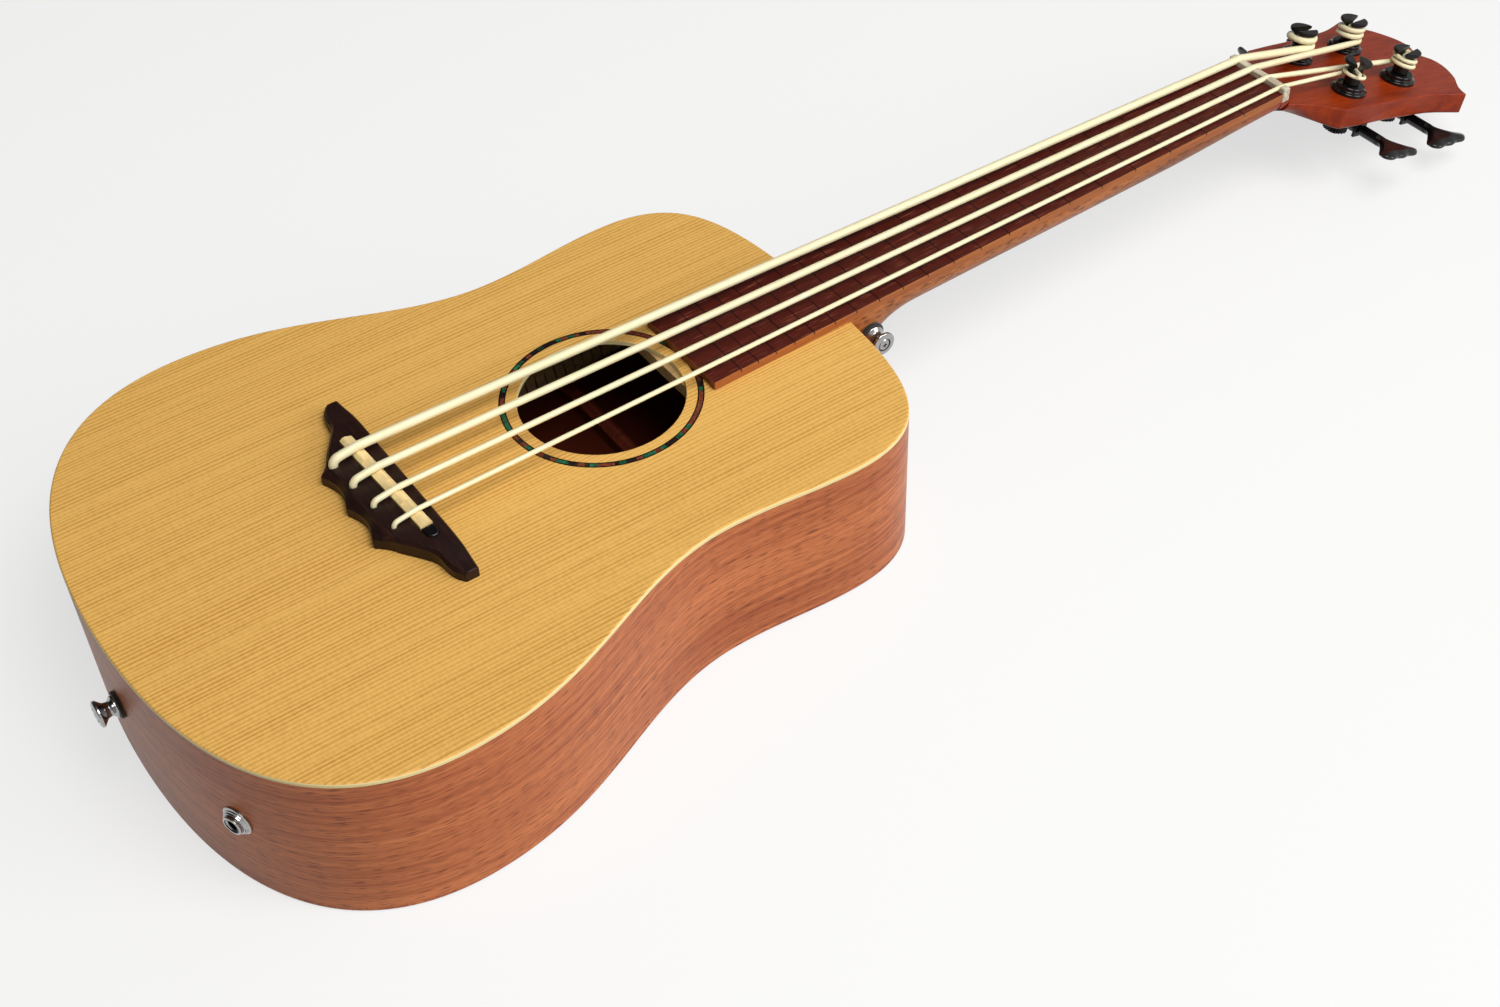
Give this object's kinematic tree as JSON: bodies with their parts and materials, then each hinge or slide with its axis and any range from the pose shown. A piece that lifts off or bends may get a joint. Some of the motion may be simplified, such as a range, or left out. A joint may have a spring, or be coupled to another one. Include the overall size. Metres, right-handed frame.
{
  "type": "bass ukulele",
  "caption": "Short-scale acoustic bass ukulele with a fretless lined fingerboard, thick polymer strings and geared tuners.",
  "frame": {"origin": "on the back plate's outer face, on the centre line, under the saddle line", "axes": "+Z out of the soundboard side, +Y from tail to head, +X to the treble side; the part lies on its flat back"},
  "size_m": [0.3074, 0.8753, 0.1053],
  "materials": {
    "spruce_top": "satin lacquer",
    "inner_spruce": "bare",
    "mahogany": "satin lacquer",
    "neck_mahogany": "satin lacquer",
    "shell_inlay": "polished",
    "fingerboard_wood": "oiled",
    "bridge_wood": "oiled",
    "bone": "polished",
    "black_plastic": "glossy",
    "brass": "bright",
    "cable": "matt",
    "black_metal": "glossy black",
    "chrome": "polished",
    "felt": "matt",
    "string_polymer": "smooth"
  },
  "bodies": {
    "instrument": {"soundboard": "spruce_top", "back_plate": "mahogany", "side_bass": "mahogany", "side_treble": "mahogany", "top_lining_bass": "inner_spruce", "top_lining_treble": "inner_spruce", "back_lining_bass": "inner_spruce", "back_lining_treble": "inner_spruce", "neck_block": "mahogany", "tail_block": "mahogany", "upper_brace": "inner_spruce", "lower_brace": "inner_spruce", "fan_brace_bass": "inner_spruce", "fan_brace_treble": "inner_spruce", "bridge_plate": "mahogany", "back_brace_upper": "inner_spruce", "back_brace_middle": "inner_spruce", "back_brace_lower": "inner_spruce", "rosette": "shell_inlay", "neck": "neck_mahogany", "fingerboard": "fingerboard_wood", "nut": "bone", "bridge": "bridge_wood", "saddle": "bone", "saddle_slot_plug": "black_plastic", "pickup_strip": "brass", "pickup_lead": "cable", "jack_barrel": "black_metal", "jack_nut": "chrome", "tail_button": "chrome", "tail_button_screw": "chrome", "tail_felt": "felt", "heel_button": "chrome", "heel_button_screw": "chrome", "heel_felt": "felt", "string_e": "string_polymer", "string_a": "string_polymer", "string_d": "string_polymer", "string_g": "string_polymer", "tuner_plate_e": "black_metal", "tuner_bushing_e": "black_metal", "tuner_plate_a": "black_metal", "tuner_bushing_a": "black_metal", "tuner_plate_d": "black_metal", "tuner_bushing_d": "black_metal", "tuner_plate_g": "black_metal", "tuner_bushing_g": "black_metal"},
    "key_e": {"tuner_key_e": "black_plastic"},
    "post_e": {"tuner_post_e": "black_metal", "tuner_gear_e": "brass"},
    "key_a": {"tuner_key_a": "black_plastic"},
    "post_a": {"tuner_post_a": "black_metal", "tuner_gear_a": "brass"},
    "key_d": {"tuner_key_d": "black_plastic"},
    "post_d": {"tuner_post_d": "black_metal", "tuner_gear_d": "brass"},
    "key_g": {"tuner_key_g": "black_plastic"},
    "post_g": {"tuner_post_g": "black_metal", "tuner_gear_g": "brass"}
  },
  "joints": [
    {"name": "key_e_turn", "type": "hinge", "parent": "instrument", "child": "key_e", "pos_m": [-0.0216, 0.62517, 0.03214], "axis": [-1, 0, 0], "continuous": true, "deforming": ["string_e"]},
    {"name": "post_e_turn", "type": "hinge", "parent": "instrument", "child": "post_e", "pos_m": [-0.0216, 0.61969, 0.05681], "axis": [0, 0.2512, 0.9679], "continuous": true, "deforming": ["string_e"]},
    {"name": "key_a_turn", "type": "hinge", "parent": "instrument", "child": "key_a", "pos_m": [-0.0212, 0.66941, 0.02066], "axis": [-1, 0, 0], "continuous": true, "deforming": ["string_a"]},
    {"name": "post_a_turn", "type": "hinge", "parent": "instrument", "child": "post_a", "pos_m": [-0.0212, 0.66393, 0.04533], "axis": [0, 0.2512, 0.9679], "continuous": true, "deforming": ["string_a"]},
    {"name": "key_d_turn", "type": "hinge", "parent": "instrument", "child": "key_d", "pos_m": [0.0212, 0.66941, 0.02066], "axis": [1, 0, 0], "continuous": true, "deforming": ["string_d"]},
    {"name": "post_d_turn", "type": "hinge", "parent": "instrument", "child": "post_d", "pos_m": [0.0212, 0.66393, 0.04533], "axis": [0, 0.2512, 0.9679], "continuous": true, "deforming": ["string_d"]},
    {"name": "key_g_turn", "type": "hinge", "parent": "instrument", "child": "key_g", "pos_m": [0.0216, 0.62517, 0.03214], "axis": [1, 0, 0], "continuous": true, "deforming": ["string_g"]},
    {"name": "post_g_turn", "type": "hinge", "parent": "instrument", "child": "post_g", "pos_m": [0.0216, 0.61969, 0.05681], "axis": [0, 0.2512, 0.9679], "continuous": true, "deforming": ["string_g"]}
  ],
  "couplings": [
    {"joint": "post_e_turn", "follows": "key_e_turn", "ratio": 0.05},
    {"joint": "post_a_turn", "follows": "key_a_turn", "ratio": 0.05},
    {"joint": "post_d_turn", "follows": "key_d_turn", "ratio": 0.05},
    {"joint": "post_g_turn", "follows": "key_g_turn", "ratio": 0.05}
  ]
}
